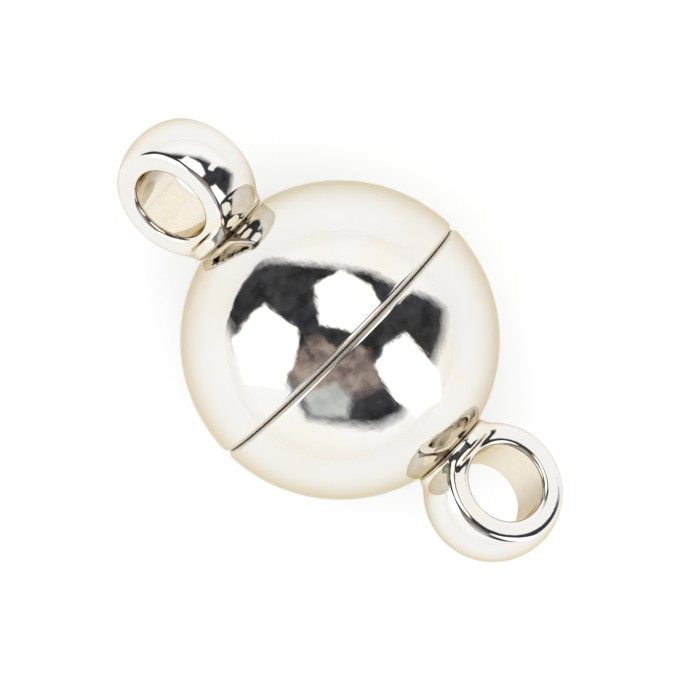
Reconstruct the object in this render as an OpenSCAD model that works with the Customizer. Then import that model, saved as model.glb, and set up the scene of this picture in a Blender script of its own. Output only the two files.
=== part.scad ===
// Magnetic ball clasp for a necklace or bracelet, closed and lying on its side.
// Two halves of a ball each hold a disc magnet, and each carries an eye at its pole. The plug magnet
// stands proud of its half and enters the recess over the socket magnet.
// It rests on the rims on both sides of its seam, with the eyes clear of the ground.
// The origin is on the ground under the ball.
// Each sub-part is drawn about the clasp's own axis, outward along +Z from the ball's centre,
// and at_rest() then lays it down.

/* [Ball] */
// Diameter of the closed ball
ball_d = 8; // [6.4:0.1:14]
// Width of the seam between the flat faces of the two halves
seam_gap = 0.05; // [0.03:0.01:0.2]
// Bevel on the rim of each half, beside the seam
rim_bevel = 0.1; // [0.04:0.02:0.2]
// Thinnest metal left around a magnet
shell_wall = 0.6; // [0.4:0.05:1.2]

/* [Magnets] */
// Thickness of a disc magnet
magnet_t = 2; // [1:0.1:2.4]
// How far the plug magnet stands proud of the middle of the seam
magnet_proud = 0.35; // [0.1:0.05:0.5]
// Gap between the faces of the two magnets when the clasp is closed
magnet_gap = 0.05; // [0.03:0.01:0.2]
// Bevel on the edges of a magnet
magnet_bevel = 0.12; // [0.05:0.01:0.25]
// Clearance around and behind a magnet in its pocket
pocket_gap = 0.05; // [0.03:0.01:0.1]

/* [Eyes] */
// Diameter of the hole through an eye
hole_d = 2; // [1.2:0.1:3]
// Thickness of an eye's ring at its crown
ring_wall = 0.75; // [0.4:0.05:1]
// Width of an eye along its hole
eye_w = 1.7; // [1.2:0.1:2]
// Bevel round each mouth of the hole
hole_bevel = 0.12; // [0.04:0.02:0.2]
// Bevel round each flat face of an eye
face_bevel = 0.05; // [0.02:0.01:0.1]
// Turn of the socket eye about the clasp's axis, measured from the plug eye
eye_turn = 80; // [0:5:180]

/* [Collar and rivet] */
// Diameter of the collar between an eye and the ball
collar_d = 2.2; // [1.8:0.1:3]
// Height of the collar
collar_h = 0.36; // [0.2:0.02:0.8]
// Bevel on the collar's outer edge
collar_bevel = 0.06; // [0.02:0.02:0.12]
// Metal between the collar and the hole of the eye
bridge = 0.2; // [0.1:0.05:0.8]
// Ledge of the flat seat that shows around the collar
seat_ledge = 0.06; // [0.03:0.01:0.2]
// Diameter of the shank that goes through the half
shank_d = 1; // [0.7:0.1:1.4]
// Diameter of the shank's riveted head
head_d = 1.7; // [1.5:0.1:2.4]
// Thickness of the riveted head
head_t = 0.4; // [0.2:0.05:0.6]
// Clearance around the head in its cavity
head_gap = 0.15; // [0.05:0.05:0.3]
// Fit clearance between an eye and its half
fit_gap = 0.03; // [0.02:0.01:0.06]

/* [Pose] */
// Roll of the lying clasp, measured from where the plug eye's hole is upright
roll = 34; // [0:2:90]

/* [Hidden] */
$fn = 128;
silver = [0.9, 0.89, 0.86];
nickel = [0.62, 0.62, 0.6];
// Cuts run past the faces that they open by this much
cut_past = 0.5;

ball_r = ball_d / 2;

// Heights from the ball's centre of each magnet's inner face, and of the floor of each pocket
plug_magnet_z = -magnet_proud;
socket_magnet_z = magnet_proud + magnet_gap;
plug_pocket_z = plug_magnet_z + magnet_t + pocket_gap;
socket_pocket_z = socket_magnet_z + magnet_t + pocket_gap;

// The deeper pocket sets the width of both magnets
pocket_r = sqrt(ball_r * ball_r - socket_pocket_z * socket_pocket_z) - shell_wall;
magnet_r = pocket_r - pocket_gap;

// Cavity for the riveted head, behind each magnet
cavity_r = head_d / 2 + head_gap;
cavity_h = head_gap + head_t + fit_gap;

// Flat seat at the pole, with the collar on it and the eye above
seat_r = collar_d / 2 + seat_ledge;
seat_z = sqrt(ball_r * ball_r - seat_r * seat_r);
collar_z = seat_z + fit_gap;
hole_z = collar_z + collar_h + bridge + hole_d / 2;
eye_r = hole_d / 2 + ring_wall;
face_r = sqrt(eye_r * eye_r - eye_w * eye_w / 4) - face_bevel;

// Lays the clasp down along X, with the plug eye towards +X and the socket eye towards -X
module at_rest() {
    translate([0, 0, ball_r]) rotate([0, -90, 0]) rotate([0, 0, roll]) children();
}

// Turns a sub-part of the plug to its side of the seam
module plug_side() {
    rotate([180, 0, 0]) children();
}

// Cylinder whose two end edges are bevelled
module bevelled_disc(r, h, bevel) {
    translate([0, 0, bevel]) cylinder(r = r, h = h - 2 * bevel);
    cylinder(r1 = r - bevel, r2 = r, h = bevel);
    translate([0, 0, h - bevel]) cylinder(r1 = r, r2 = r - bevel, h = bevel);
}

// Half of the ball, with a magnet pocket, a cavity for the riveted head and a seat for the collar.
// One cone cuts the flat face and the bevel of the rim.
module ball_half(pocket_z) {
    rim_z = seam_gap / 2;
    rim_r = sqrt(ball_r * ball_r - rim_z * rim_z) - rim_bevel;
    difference() {
        intersection() {
            sphere(r = ball_r);
            translate([0, 0, rim_z]) cylinder(r1 = rim_r, r2 = rim_r + ball_d, h = ball_d);
        }
        translate([0, 0, -cut_past]) cylinder(r = pocket_r, h = pocket_z + cut_past);
        cylinder(r = cavity_r, h = pocket_z + cavity_h);
        cylinder(r = shank_d / 2 + fit_gap, h = ball_r + cut_past);
        translate([0, 0, seat_z]) cylinder(r = seat_r + cut_past, h = ball_r);
    }
}

// Cone that leaves one flat face of an eye, and the bevel round it
module face_cone() {
    translate([0, 0, -eye_w / 2]) cylinder(r1 = face_r, r2 = face_r + 2 * eye_w, h = 2 * eye_w);
}

// Ring of an eye about its hole, which runs along X: a ball with two flat faces
module eye_ring() {
    rotate([0, 90, 0]) intersection() {
        sphere(r = eye_r);
        face_cone();
        rotate([180, 0, 0]) face_cone();
    }
}

// Hole of an eye, along X, with a bevel at each mouth
module eye_hole() {
    hole_r = hole_d / 2;
    rotate([0, 90, 0]) {
        cylinder(r = hole_r, h = eye_w + 2 * cut_past, center = true);
        for (side = [0, 180]) rotate([side, 0, 0]) translate([0, 0, eye_w / 2 - hole_bevel])
            cylinder(r1 = hole_r, r2 = hole_r + hole_bevel + cut_past, h = hole_bevel + cut_past);
    }
}

// Eye with its collar, its shank and the riveted head, which lies in the cavity of the half
module eye(pocket_z) {
    head_z = pocket_z + head_gap;
    difference() {
        union() {
            intersection() {
                translate([0, 0, hole_z]) eye_ring();
                translate([0, 0, collar_z]) cylinder(r = 2 * eye_r, h = 4 * eye_r);
            }
            translate([0, 0, collar_z]) cylinder(r = collar_d / 2, h = collar_h - collar_bevel);
            translate([0, 0, collar_z + collar_h - collar_bevel])
                cylinder(r1 = collar_d / 2, r2 = collar_d / 2 - collar_bevel, h = collar_bevel);
            translate([0, 0, head_z]) cylinder(r = shank_d / 2, h = collar_z + collar_h / 2 - head_z);
            translate([0, 0, head_z]) cylinder(r = head_d / 2, h = head_t);
        }
        translate([0, 0, hole_z]) eye_hole();
    }
}

module magnet(inner_z) {
    color(nickel) translate([0, 0, inner_z]) bevelled_disc(magnet_r, magnet_t, magnet_bevel);
}

module plug_half() {
    color(silver) at_rest() plug_side() ball_half(plug_pocket_z);
}

module plug_eye() {
    color(silver) at_rest() plug_side() eye(plug_pocket_z);
}

module plug_magnet() {
    at_rest() plug_side() magnet(plug_magnet_z);
}

module socket_half() {
    color(silver) at_rest() ball_half(socket_pocket_z);
}

module socket_eye() {
    color(silver) at_rest() rotate([0, 0, -eye_turn]) eye(socket_pocket_z);
}

module socket_magnet() {
    at_rest() magnet(socket_magnet_z);
}

plug_half();
plug_eye();
plug_magnet();
socket_half();
socket_eye();
socket_magnet();
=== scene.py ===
import math

import bpy
import numpy as np
from mathutils import Matrix, Vector


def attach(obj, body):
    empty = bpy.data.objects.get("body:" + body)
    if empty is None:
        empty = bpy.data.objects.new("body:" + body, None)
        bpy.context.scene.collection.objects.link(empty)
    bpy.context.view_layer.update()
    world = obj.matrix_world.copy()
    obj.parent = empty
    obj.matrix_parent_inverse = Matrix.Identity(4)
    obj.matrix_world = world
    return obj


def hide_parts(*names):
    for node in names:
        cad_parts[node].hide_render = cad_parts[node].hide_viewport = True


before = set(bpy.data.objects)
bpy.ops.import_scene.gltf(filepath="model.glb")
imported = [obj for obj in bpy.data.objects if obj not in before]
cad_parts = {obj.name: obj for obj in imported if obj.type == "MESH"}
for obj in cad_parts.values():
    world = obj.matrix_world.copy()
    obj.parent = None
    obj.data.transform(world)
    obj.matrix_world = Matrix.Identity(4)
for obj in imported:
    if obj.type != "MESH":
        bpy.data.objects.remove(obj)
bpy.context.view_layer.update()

# Sizes in millimetres, the same as in the CAD source, but for a seam drawn a little finer
MM = 0.001
BALL_R = 4.0
SEAM_GAP = 0.03
SHELL_WALL = 0.6
MAGNET_T = 2.0
MAGNET_PROUD = 0.35
MAGNET_GAP = 0.05
POCKET_GAP = 0.05
HOLE_R = 1.0
RING_WALL = 0.75
EYE_W = 1.7
EYE_TURN = 80.0
ROLL = 34.0
COLLAR_R = 1.1
COLLAR_H = 0.36
BRIDGE = 0.2
SEAT_LEDGE = 0.06
SHANK_R = 0.5
HEAD_R = 0.85
HEAD_T = 0.4
HEAD_GAP = 0.15
FIT_GAP = 0.03
RIM_BEVEL = 0.1

PLUG_MAGNET_Z = -MAGNET_PROUD
SOCKET_MAGNET_Z = MAGNET_PROUD + MAGNET_GAP
PLUG_POCKET_Z = PLUG_MAGNET_Z + MAGNET_T + POCKET_GAP
SOCKET_POCKET_Z = SOCKET_MAGNET_Z + MAGNET_T + POCKET_GAP
POCKET_R = math.sqrt(BALL_R ** 2 - SOCKET_POCKET_Z ** 2) - SHELL_WALL
MAGNET_R = POCKET_R - POCKET_GAP
CAVITY_R = HEAD_R + HEAD_GAP
CAVITY_H = HEAD_GAP + HEAD_T + FIT_GAP
SEAT_R = COLLAR_R + SEAT_LEDGE
SEAT_Z = math.sqrt(BALL_R ** 2 - SEAT_R ** 2)
COLLAR_Z = SEAT_Z + FIT_GAP
COLLAR_TOP = COLLAR_Z + COLLAR_H
HOLE_Z = COLLAR_TOP + BRIDGE + HOLE_R
EYE_R = HOLE_R + RING_WALL

# Rounds of the polished metal, in millimetres
RIM_ROUND = 0.05
SEAT_ROUND = 0.04
MOUTH_ROUND = 0.05
MAGNET_ROUND = 0.12
EYE_EDGE_ROUND = 0.12
HOLE_EDGE_ROUND = 0.16
COLLAR_ROUND = 0.12
SOLDER_FILLET = 0.16

# How far the shank runs into the collar
SHANK_LAP = 0.1

# Fineness of the meshes
TURNS = 256
BALL_STEPS = 60
CARD_STEPS = 16
EYE_VOXEL = 0.03
EYE_FITS = 8

# How worn the plate is, from 0 to 1, and over what distance in millimetres it fades
SEAM_WEAR = 0.15
SEAT_WEAR = 0.5
SEAT_FADE = 0.2
INSIDE_WEAR = 0.8
INSIDE_FADE = 0.15
HOLE_WEAR = 0.55
HOLE_FADE = 0.1
FOOT_WEAR = 0.5
FOOT_FADE = 0.25
SHANK_WEAR = 0.7
SHANK_FADE = 0.1
SATIN_FADE = 0.03

# Colours of the plate: bright, tarnished, and the tint that it takes at a glancing angle
SILVER = (0.75, 0.735, 0.715)
TARNISH = (0.76, 0.66, 0.49)
EDGE_TINT = (0.81, 0.72, 0.54, 1)

# Half the side of the table top in metres, and the strength of the sky
FLOOR_HALF = 3.0
SKY_STRENGTH = 1.27

# Camera in degrees and metres, but for its sensor in millimetres. It looks down on the ball as in the
# photograph, and past 90 degrees it has gone over the top
CAMERA_AZIMUTH = 45.0
CAMERA_ELEVATION = 95.0
CAMERA_DISTANCE = 0.4
VIEW_WIDTH = 0.017
SENSOR = 36.0
BALL_CENTRE = Vector((0, 0, BALL_R * MM))


# Camera directions

def camera_axes():
    """Right, up and back of the camera, as world directions."""
    a, e = math.radians(CAMERA_AZIMUTH), math.radians(CAMERA_ELEVATION)
    back = Vector((math.sin(a) * math.cos(e), -math.cos(a) * math.cos(e), math.sin(e)))
    right = Vector((math.cos(a), math.sin(a), 0))
    return right, back.cross(right), back


RIGHT, UP, BACK = camera_axes()


def mirrored(x, y):
    """World direction that the ball reflects to the camera at (x, y), in ball radii from its centre."""
    z = math.sqrt(max(0.0, 1 - x * x - y * y))
    return RIGHT * (2 * z * x) + UP * (2 * z * y) + BACK * (2 * z * z - 1)


# Places of the two halves

def half_place(plug):
    """Matrix from a half's own millimetres, outward along +Z, to metres in the scene."""
    place = Matrix.Translation(BALL_CENTRE) @ Matrix.Rotation(-math.pi / 2, 4, "Y")
    place = place @ Matrix.Rotation(math.radians(ROLL), 4, "Z")
    if plug:
        place = place @ Matrix.Rotation(math.pi, 4, "X")
    return place @ Matrix.Scale(MM, 4)


PLUG = half_place(True)
SOCKET = half_place(False)
SOCKET_EYE = SOCKET @ Matrix.Rotation(math.radians(-EYE_TURN), 4, "Z")


# Profiles: runs of (r, z, normal r, normal z), with the metal on the left of the way they go

def line(start, end):
    """Straight run between two points (r, z)."""
    way = Vector((end[0] - start[0], end[1] - start[1])).normalized()
    normal = (way.y, -way.x)
    return [(*start, *normal), (*end, *normal)]


def arc(centre, radius, first, last, steps):
    """Run round a centre, between two angles in radians. Its normals point away from the centre."""
    run = []
    for angle in np.linspace(first, last, steps + 1):
        c, s = math.cos(angle), math.sin(angle)
        run.append((centre[0] + radius * c, centre[1] + radius * s, c, s))
    return run


def turned_corner(start, corner, end, steps):
    """Rounded corner: a run that leaves each side of the corner along that side."""
    start, corner, end = Vector(start), Vector(corner), Vector(end)
    run = []
    for i in range(steps + 1):
        t = i / steps
        point = start * (1 - t) ** 2 + corner * 2 * t * (1 - t) + end * t ** 2
        way = ((corner - start) * (1 - t) + (end - corner) * t).normalized()
        run.append((point.x, point.y, way.y, -way.x))
    return run


def half_profile(pocket_z):
    """Closed profile of one half of the ball."""
    rim_z = SEAM_GAP / 2
    rim_r = math.sqrt(BALL_R ** 2 - rim_z ** 2) - RIM_BEVEL
    slant = Vector((1, 1)).normalized()
    inner = Vector((rim_r, rim_z))
    along = inner.dot(slant)
    outer = inner + slant * (math.sqrt(along ** 2 + BALL_R ** 2 - inner.length_squared) - along)
    low = math.atan2(outer.y, outer.x) + RIM_ROUND / BALL_R
    ball_start = Vector((math.cos(low), math.sin(low))) * BALL_R
    seat_c = (math.sqrt((BALL_R - SEAT_ROUND) ** 2 - (SEAT_Z - SEAT_ROUND) ** 2), SEAT_Z - SEAT_ROUND)
    high = math.atan2(seat_c[1], seat_c[0])
    mouth_c = (POCKET_R + MOUTH_ROUND, rim_z + MOUTH_ROUND)
    bore_r = SHANK_R + FIT_GAP
    cavity_z = pocket_z + CAVITY_H
    return [
        arc(mouth_c, MOUTH_ROUND, math.pi, math.pi * 1.5, 4),
        line((mouth_c[0], rim_z), (rim_r - SEAT_ROUND, rim_z)),
        turned_corner((rim_r - SEAT_ROUND, rim_z), inner, inner + slant * SEAT_ROUND, 6),
        line(inner + slant * SEAT_ROUND, outer - slant * RIM_ROUND),
        turned_corner(outer - slant * RIM_ROUND, outer, ball_start, 8),
        arc((0, 0), BALL_R, low, high, BALL_STEPS),
        arc(seat_c, SEAT_ROUND, high, math.pi / 2, 6),
        line((seat_c[0], SEAT_Z), (bore_r, SEAT_Z)),
        line((bore_r, SEAT_Z), (bore_r, cavity_z)),
        line((bore_r, cavity_z), (CAVITY_R, cavity_z)),
        line((CAVITY_R, cavity_z), (CAVITY_R, pocket_z)),
        line((CAVITY_R, pocket_z), (POCKET_R, pocket_z)),
        line((POCKET_R, pocket_z), (POCKET_R, mouth_c[1])),
    ]


def magnet_profile(inner_z):
    """Profile of a disc magnet, from its axis to its axis."""
    edge = MAGNET_R - MAGNET_ROUND
    low, high = inner_z + MAGNET_ROUND, inner_z + MAGNET_T - MAGNET_ROUND
    return [
        line((0, inner_z), (edge, inner_z)),
        arc((edge, low), MAGNET_ROUND, -math.pi / 2, 0, 8),
        line((MAGNET_R, low), (MAGNET_R, high)),
        arc((edge, high), MAGNET_ROUND, 0, math.pi / 2, 8),
        line((edge, inner_z + MAGNET_T), (0, inner_z + MAGNET_T)),
    ]


# Meshes

def finished(name, mesh, place, material, body, node):
    """Puts a finished mesh in the scene in the place of a CAD node."""
    mesh.transform(place)
    obj = bpy.data.objects.new(name, mesh)
    bpy.context.scene.collection.objects.link(obj)
    mesh.materials.append(material)
    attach(obj, body)
    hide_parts(node)


def kept(mesh, name, amount):
    """Keeps an amount from 0 to 1 at each point of a mesh, for its material."""
    mesh.attributes.new(name, "FLOAT", "POINT").data.foreach_set("value", np.clip(amount, 0, 1))


def places(mesh):
    """Places of a mesh's points, as an array."""
    p = np.empty(len(mesh.vertices) * 3)
    mesh.vertices.foreach_get("co", p)
    return p.reshape(-1, 3)


def half_satin(p):
    """How satin a half is: only on the turned rim beside the seam."""
    depth = BALL_R - np.hypot(np.hypot(p[:, 0], p[:, 1]), p[:, 2])
    return np.where(p[:, 2] < 2 * RIM_BEVEL, depth / SATIN_FADE, 0)


def half_tarnish(p):
    """Tarnish of a half: in the seam, round the seat and inside the pocket."""
    out = np.hypot(p[:, 0], p[:, 1])
    depth = BALL_R - np.hypot(out, p[:, 2])
    seam = np.where(p[:, 2] < RIM_BEVEL + SEAM_GAP, SEAM_WEAR, 0)
    seat = SEAT_WEAR * np.clip((p[:, 2] - SEAT_Z + SEAT_FADE) / SEAT_FADE, 0, 1)
    inside = INSIDE_WEAR * np.clip((depth - RIM_BEVEL) / INSIDE_FADE, 0, 1)
    return np.maximum(np.maximum(seam, seat), inside)


def eye_tarnish(p):
    """Tarnish of an eye: in its hole and round the foot of its ring and collar."""
    around = np.hypot(p[:, 1], p[:, 2] - HOLE_Z)
    hole = HOLE_WEAR * np.clip(1 - (around - HOLE_R) / HOLE_FADE, 0, 1)
    foot = FOOT_WEAR * np.clip(1 - np.abs(p[:, 2] - COLLAR_TOP) / FOOT_FADE, 0, 1)
    shank = SHANK_WEAR * np.clip((COLLAR_Z + SHANK_FADE - p[:, 2]) / SHANK_FADE, 0, 1)
    return np.maximum(np.maximum(hole, foot), shank)


def lathe(name, runs):
    """Mesh turned about the Z axis from a profile, with the profile's exact normals."""
    points, faces, normals = [], [], []
    rings = {}

    def ring(point):
        key = (round(point[0], 7), round(point[1], 7))
        if key not in rings:
            first = len(points)
            count = 1 if point[0] < 1e-9 else TURNS
            for i in range(count):
                turn = 2 * math.pi * i / TURNS
                points.append((point[0] * math.cos(turn), point[0] * math.sin(turn), point[1]))
            rings[key] = [first + i % count for i in range(TURNS)]
        return rings[key]

    def normal(point, i):
        turn = 2 * math.pi * i / TURNS
        return (point[2] * math.cos(turn), point[2] * math.sin(turn), point[3])

    for run in runs:
        for a, b in zip(run, run[1:]):
            ring_a, ring_b = ring(a), ring(b)
            for i in range(TURNS):
                j = (i + 1) % TURNS
                corners = [(ring_a[i], a, i), (ring_a[j], a, j), (ring_b[j], b, j), (ring_b[i], b, i)]
                if ring_a[i] == ring_a[j]:
                    corners.pop(1)
                elif ring_b[i] == ring_b[j]:
                    corners.pop(3)
                faces.append([c[0] for c in corners])
                normals.extend(normal(c[1], c[2]) for c in corners)
    mesh = bpy.data.meshes.new(name)
    mesh.from_pydata(points, [], faces)
    mesh.shade_smooth()
    mesh.normals_split_custom_set(normals)
    return mesh


# The eye as a distance field, in its own millimetres

def blunt(a, b, width):
    """Overlap of two distance fields whose common edge is rounded."""
    h = np.maximum(width - np.abs(a - b), 0) / width
    return np.maximum(a, b) + h * h * width / 4


def eye_field(p, pocket_z):
    """Distance to the eye's surface: a ring and a collar in one, on the riveted shank."""
    x, y, z = p[:, 0], p[:, 1], p[:, 2]
    around = np.hypot(y, z - HOLE_Z)
    crown = np.hypot(x, around) - EYE_R
    ring = blunt(crown, np.abs(x) - EYE_W / 2, EYE_EDGE_ROUND)
    out = np.hypot(x, y)
    collar = blunt(out - COLLAR_R, z - COLLAR_TOP, COLLAR_ROUND)
    upper = -blunt(-ring, -collar, SOLDER_FILLET)
    upper = blunt(upper, HOLE_R - around, HOLE_EDGE_ROUND)
    upper = blunt(upper, COLLAR_Z - z, COLLAR_ROUND)
    head_z = pocket_z + HEAD_GAP
    shank_top = COLLAR_Z + SHANK_LAP
    shank_ends = np.abs(z - (head_z + shank_top) / 2) - (shank_top - head_z) / 2
    shank = np.maximum(out - SHANK_R, shank_ends)
    head = blunt(out - HEAD_R, np.abs(z - head_z - HEAD_T / 2) - HEAD_T / 2, COLLAR_ROUND)
    return np.minimum(upper, np.minimum(shank, head))


def slope(p, pocket_z):
    """Gradient of the eye's distance field."""
    step = 1e-4
    parts = []
    for axis in range(3):
        shift = np.zeros(3)
        shift[axis] = step
        parts.append((eye_field(p + shift, pocket_z) - eye_field(p - shift, pocket_z)) / (2 * step))
    return np.stack(parts, axis=1)


def eye_mesh(name, node, place, pocket_z):
    """Fine mesh of an eye: its CAD node remeshed, then drawn onto the distance field."""
    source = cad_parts[node].data.copy()
    source.transform(place.inverted())
    helper = bpy.data.objects.new(name + "_helper", source)
    bpy.context.scene.collection.objects.link(helper)
    remesh = helper.modifiers.new("voxels", "REMESH")
    remesh.mode = "VOXEL"
    remesh.voxel_size = EYE_VOXEL
    shown = helper.evaluated_get(bpy.context.evaluated_depsgraph_get())
    mesh = bpy.data.meshes.new_from_object(shown)
    bpy.data.objects.remove(helper)
    mesh.materials.clear()
    p = places(mesh)
    for _ in range(EYE_FITS):
        g = slope(p, pocket_z)
        p -= g * (eye_field(p, pocket_z) / np.maximum((g * g).sum(axis=1), 0.2))[:, None]
    mesh.vertices.foreach_set("co", p.ravel())
    mesh.update()
    mesh.shade_smooth()
    g = slope(p, pocket_z)
    g /= np.linalg.norm(g, axis=1)[:, None]
    mesh.normals_split_custom_set_from_vertices(g.tolist())
    kept(mesh, "tarnish", eye_tarnish(p))
    return mesh


# Materials

def new_material(name):
    """A material with its node tree, its shader and a coordinate in millimetres."""
    material = bpy.data.materials.new(name)
    material.use_nodes = True
    nodes, links = material.node_tree.nodes, material.node_tree.links
    shader = nodes["Principled BSDF"]
    coordinate = nodes.new("ShaderNodeTexCoord")
    scaled = nodes.new("ShaderNodeVectorMath")
    scaled.operation = "SCALE"
    scaled.inputs["Scale"].default_value = 1 / MM
    links.new(coordinate.outputs["Object"], scaled.inputs[0])
    return material, shader, scaled.outputs["Vector"]


def noise(material, vector, scale, detail=3.0, stretch=(1, 1, 1), rough=0.5):
    """Noise over a coordinate in millimetres, stretched along the axes if asked. Returns its value."""
    nodes, links = material.node_tree.nodes, material.node_tree.links
    mapping = nodes.new("ShaderNodeMapping")
    mapping.inputs["Scale"].default_value = stretch
    texture = nodes.new("ShaderNodeTexNoise")
    texture.inputs["Scale"].default_value = scale
    texture.inputs["Detail"].default_value = detail
    texture.inputs["Roughness"].default_value = rough
    links.new(vector, mapping.inputs["Vector"])
    links.new(mapping.outputs["Vector"], texture.inputs["Vector"])
    return texture.outputs["Fac"]


def ranged(material, value, from_low, from_high, to_low, to_high):
    """Value carried from one range to another, and held inside it."""
    nodes, links = material.node_tree.nodes, material.node_tree.links
    node = nodes.new("ShaderNodeMapRange")
    limits = {"From Min": from_low, "From Max": from_high, "To Min": to_low, "To Max": to_high}
    for name, number in limits.items():
        node.inputs[name].default_value = number
    links.new(value, node.inputs["Value"])
    return node.outputs["Result"]


def attribute(material, name):
    """Amount that a mesh keeps at its points."""
    node = material.node_tree.nodes.new("ShaderNodeAttribute")
    node.attribute_name = name
    return node.outputs["Fac"]


def multiplied(material, value, factor, added):
    """Value times a factor plus another value, held between 0 and 1."""
    node = material.node_tree.nodes.new("ShaderNodeMath")
    node.operation = "MULTIPLY_ADD"
    node.use_clamp = True
    for link, end in zip((value, factor, added), node.inputs):
        material.node_tree.links.new(link, end)
    return node.outputs["Value"]


def mixed(material, factor, first, second):
    """Colour between two colours."""
    nodes, links = material.node_tree.nodes, material.node_tree.links
    node = nodes.new("ShaderNodeMix")
    node.data_type = "RGBA"
    links.new(factor, node.inputs[0])
    node.inputs[6].default_value = (*first, 1)
    node.inputs[7].default_value = (*second, 1)
    return node.outputs[2]


def bumped(material, height, distance, below=None):
    """Normal bent by a height, with the distance in millimetres, on top of another normal if given."""
    nodes, links = material.node_tree.nodes, material.node_tree.links
    node = nodes.new("ShaderNodeBump")
    node.inputs["Strength"].default_value = 1.0
    node.inputs["Distance"].default_value = distance * MM
    links.new(height, node.inputs["Height"])
    if below is not None:
        links.new(below, node.inputs["Normal"])
    return node.outputs["Normal"]


def silver_material(name, streaks, wave):
    """Bright silver plate: a mirror with faint waves and polish streaks, warm where it has tarnished."""
    material, shader, vector = new_material(name)
    links = material.node_tree.links
    shader.inputs["Metallic"].default_value = 1.0
    shader.inputs["Specular Tint"].default_value = EDGE_TINT
    worn = attribute(material, "tarnish")
    patches = ranged(material, noise(material, vector, 0.45, 4.0), 0.5, 0.75, 0.0, 0.4)
    speckle = noise(material, vector, 9.0, 4.0)
    warm = multiplied(material, worn, ranged(material, speckle, 0.35, 0.6, 0.5, 1.2), patches)
    links.new(mixed(material, warm, SILVER, TARNISH), shader.inputs["Base Color"])
    smudge = noise(material, vector, 1.3, 5.0)
    polish = ranged(material, smudge, 0.35, 0.75, 0.04, 0.1)
    satin = ranged(material, speckle, 0.3, 0.7, 0.35, 0.5)
    links.new(multiplied(material, attribute(material, "satin"), satin, polish), shader.inputs["Roughness"])
    waves = bumped(material, noise(material, vector, 1.1, 2.0), wave)
    ripples = bumped(material, noise(material, vector, 5.0, 2.0), 0.0018, waves)
    lines = bumped(material, noise(material, vector, 1.6, 4.0, streaks), 0.0008, ripples)
    links.new(lines, shader.inputs["Normal"])
    return material


def magnet_material():
    """Nickel plate on a disc magnet: satin, slightly warm grey, with a few rubbed spots."""
    material, shader, vector = new_material("nickel_plate")
    links = material.node_tree.links
    shader.inputs["Metallic"].default_value = 1.0
    rubbed = ranged(material, noise(material, vector, 1.2, 5.0), 0.45, 0.7, 0.0, 1.0)
    links.new(mixed(material, rubbed, (0.66, 0.645, 0.61), (0.58, 0.55, 0.5)), shader.inputs["Base Color"])
    polish = ranged(material, noise(material, vector, 2.5, 4.0), 0.3, 0.7, 0.16, 0.32)
    links.new(polish, shader.inputs["Roughness"])
    links.new(bumped(material, noise(material, vector, 18.0, 3.0), 0.0015), shader.inputs["Normal"])
    return material


def floor_material():
    """White matt table top."""
    material, shader, vector = new_material("white_table")
    links = material.node_tree.links
    tone = noise(material, vector, 0.05, 3.0)
    links.new(mixed(material, tone, (0.925, 0.925, 0.92), (0.94, 0.94, 0.935)), shader.inputs["Base Color"])
    shader.inputs["Roughness"].default_value = 0.6
    shader.inputs["Specular IOR Level"].default_value = 0.2
    return material


# Stage and lights

def glow_material(name, colours, strength, soft):
    """Light-giving surface of a studio card, mottled between two colours and fading at its rim."""
    material = bpy.data.materials.new(name)
    material.use_nodes = True
    nodes, links = material.node_tree.nodes, material.node_tree.links
    nodes.remove(nodes["Principled BSDF"])
    coordinate = nodes.new("ShaderNodeTexCoord")
    clouds = noise(material, coordinate.outputs["Object"], 7.0, 6.0, rough=0.65)
    mottle = ranged(material, clouds, 0.35, 0.65, 0.0, 1.0)
    glow = nodes.new("ShaderNodeEmission")
    glow.inputs["Strength"].default_value = strength
    links.new(mixed(material, mottle, *colours), glow.inputs["Color"])
    clear = nodes.new("ShaderNodeBsdfTransparent")
    mix = nodes.new("ShaderNodeMixShader")
    links.new(ranged(material, attribute(material, "depth"), 0.0, soft, 0.0, 1.0), mix.inputs["Fac"])
    links.new(clear.outputs["BSDF"], mix.inputs[1])
    links.new(glow.outputs["Emission"], mix.inputs[2])
    links.new(mix.outputs["Shader"], nodes["Material Output"].inputs["Surface"])
    return material


def card(name, corners, distance, colours, strength=1.0, soft=0.08, lights=False):
    """Studio card whose corners are given by the places on the ball that mirror them to the camera."""
    centre = Vector((sum(c[0] for c in corners) / len(corners), sum(c[1] for c in corners) / len(corners)))
    rim = []
    for a, b in zip(corners, corners[1:] + corners[:1]):
        rim.extend(Vector(a).lerp(Vector(b), i / CARD_STEPS) for i in range(CARD_STEPS))
    count = len(rim)
    points = [BALL_CENTRE + mirrored(*centre) * distance]
    depths = [1.0]
    for k in range(1, CARD_STEPS + 1):
        points.extend(BALL_CENTRE + mirrored(*centre.lerp(p, k / CARD_STEPS)) * distance for p in rim)
        depths.extend([1 - k / CARD_STEPS] * count)
    faces = [(0, 1 + i, 1 + (i + 1) % count) for i in range(count)]
    for k in range(CARD_STEPS - 1):
        low, high = 1 + k * count, 1 + (k + 1) * count
        for i in range(count):
            j = (i + 1) % count
            faces.append((low + i, high + i, high + j, low + j))
    mesh = bpy.data.meshes.new(name)
    mesh.from_pydata(points, [], faces)
    kept(mesh, "depth", depths)
    mesh.materials.append(glow_material(name, colours, strength, soft))
    obj = bpy.data.objects.new(name, mesh)
    bpy.context.scene.collection.objects.link(obj)
    obj.visible_camera = False
    obj.visible_shadow = False
    obj.visible_diffuse = lights


def make_floor():
    """Wide table top under the clasp."""
    mesh = bpy.data.meshes.new("table_top")
    corners = [(x * FLOOR_HALF, y * FLOOR_HALF, 0) for x, y in ((-1, -1), (1, -1), (1, 1), (-1, 1))]
    mesh.from_pydata(corners, [], [(0, 1, 2, 3)])
    mesh.materials.append(floor_material())
    obj = bpy.data.objects.new("table_top", mesh)
    bpy.context.scene.collection.objects.link(obj)


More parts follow.
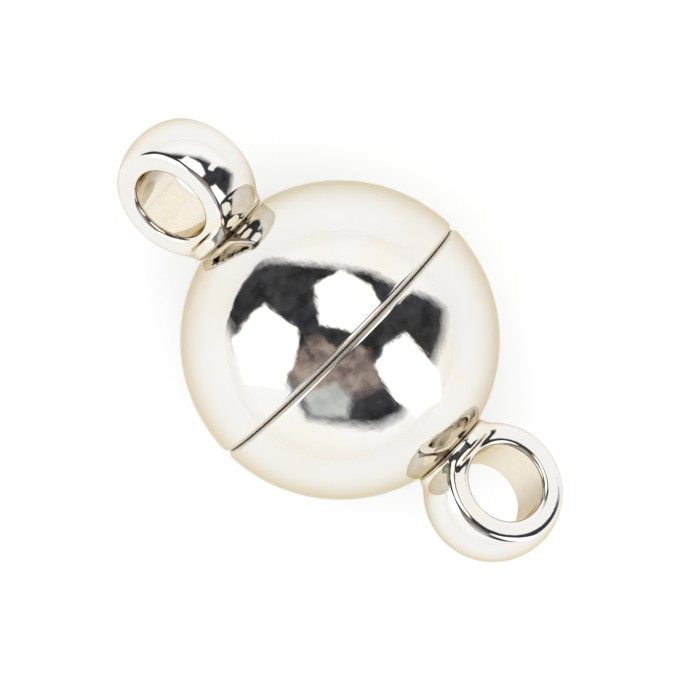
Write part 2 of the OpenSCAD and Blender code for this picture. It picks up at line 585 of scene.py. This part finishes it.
def make_world():
    """White surroundings, warmer and a little darker low over the horizon."""
    world = bpy.data.worlds.new("white_studio")
    world.use_nodes = True
    nodes, links = world.node_tree.nodes, world.node_tree.links
    coordinate = nodes.new("ShaderNodeTexCoord")
    split = nodes.new("ShaderNodeSeparateXYZ")
    links.new(coordinate.outputs["Generated"], split.inputs["Vector"])
    rise = ranged(world, split.outputs["Z"], 0.05, 0.25, 0.0, 1.0)
    background = nodes["Background"]
    links.new(mixed(world, rise, (0.925, 0.92, 0.905), (0.97, 0.985, 1.0)), background.inputs["Color"])
    background.inputs["Strength"].default_value = SKY_STRENGTH
    bpy.context.scene.world = world


def make_camera():
    """Camera above the clasp, aimed at the ball."""
    data = bpy.data.cameras.new("camera")
    data.sensor_width = SENSOR
    data.lens = SENSOR * CAMERA_DISTANCE / VIEW_WIDTH
    camera = bpy.data.objects.new("camera", data)
    bpy.context.scene.collection.objects.link(camera)
    camera.location = BALL_CENTRE + BACK * CAMERA_DISTANCE
    camera.rotation_mode = "QUATERNION"
    camera.rotation_quaternion = Matrix((RIGHT, UP, BACK)).transposed().to_quaternion()
    data.clip_start, data.clip_end = 0.01, 10
    bpy.context.scene.camera = camera


def make_lights():
    """Three soft boxes before a dark studio, in the places where the ball mirrors them."""
    white = ((1, 1, 1), (1, 1, 1))
    dark_studio = [
        (-0.78, 0.2), (-0.78, 0.32), (-0.71, 0.43), (-0.51, 0.52), (-0.17, 0.5), (0.2, 0.45), (0.42, 0.34),
        (0.6, 0.28), (0.7, 0.2), (0.68, 0.0), (0.58, -0.25), (0.4, -0.5), (0.27, -0.57), (0.03, -0.56),
        (-0.22, -0.52), (-0.36, -0.25), (-0.66, -0.1),
    ]
    card("dark_studio", dark_studio, 0.8, ((0.018, 0.018, 0.02), (0.075, 0.077, 0.085)), soft=0.12)
    camera_place = [
        (-0.22, 0.03), (-0.12, 0.05), (-0.02, -0.04), (0.1, 0.0), (0.2, -0.04), (0.3, -0.3), (0.1, -0.38),
        (-0.12, -0.33), (-0.3, -0.36), (-0.34, -0.2),
    ]
    card("camera_place", camera_place, 0.7, ((0.14, 0.105, 0.095), (0.56, 0.46, 0.42)), soft=0.2)
    low_window = [(-0.27, -0.31), (-0.03, -0.25), (0.1, -0.36), (0.07, -0.5), (-0.2, -0.48)]
    card("low_window", low_window, 0.65, ((0.55, 0.59, 0.58), (0.78, 0.83, 0.81)), soft=0.3)
    boxes = {
        "top_box": [(-0.168, 0.34), (0.005, 0.451), (0.2, 0.34), (0.28, 0.19), (0.128, 0.032),
                    (-0.13, 0.094)],
        "left_box": [(-0.56, 0.168), (-0.476, 0.23), (-0.254, 0.07), (-0.25, -0.06), (-0.34, -0.32),
                     (-0.6, -0.28), (-0.68, 0.0)],
        "right_box": [(0.276, -0.03), (0.41, 0.057), (0.62, -0.18), (0.646, -0.375), (0.473, -0.486),
                      (0.325, -0.375), (0.2, -0.153)],
    }
    for name, corners in boxes.items():
        card(name, corners, 0.5, white, 1.5, lights=True)
    seam_box = [(0.3, 0.25), (0.31, 0.3), (0.38, 0.37), (0.44, 0.38), (0.46, 0.33), (0.37, 0.23)]
    card("seam_box", seam_box, 0.5, white, 1.2)


# The clasp

def make_clasp():
    """All six pieces."""
    ball_silver = silver_material("silver_ball", (1, 9, 1), 0.012)
    eye_silver = silver_material("silver_eye", (2, 2, 6), 0.004)
    nickel = magnet_material()
    halves = [
        ("plug_shell", "plug_half", "plug", PLUG, PLUG_POCKET_Z),
        ("socket_shell", "socket_half", "socket", SOCKET, SOCKET_POCKET_Z),
    ]
    for name, node, body, place, pocket_z in halves:
        mesh = lathe(name, half_profile(pocket_z))
        kept(mesh, "tarnish", half_tarnish(places(mesh)))
        kept(mesh, "satin", half_satin(places(mesh)))
        finished(name, mesh, place, ball_silver, body, node)
    magnets = [
        ("plug_disc", "plug_magnet", "swivel", PLUG, PLUG_MAGNET_Z),
        ("socket_disc", "socket_magnet", "socket", SOCKET, SOCKET_MAGNET_Z),
    ]
    for name, node, body, place, inner_z in magnets:
        finished(name, lathe(name, magnet_profile(inner_z)), place, nickel, body, node)
    eyes = [
        ("plug_ring", "plug_eye", "plug", PLUG, PLUG_POCKET_Z),
        ("socket_ring", "socket_eye", "socket", SOCKET_EYE, SOCKET_POCKET_Z),
    ]
    for name, node, body, place, pocket_z in eyes:
        finished(name, eye_mesh(name, node, place, pocket_z), place, eye_silver, body, node)


make_camera()
make_world()
make_floor()
make_lights()
make_clasp()
bpy.context.scene.view_settings.view_transform = "Standard"
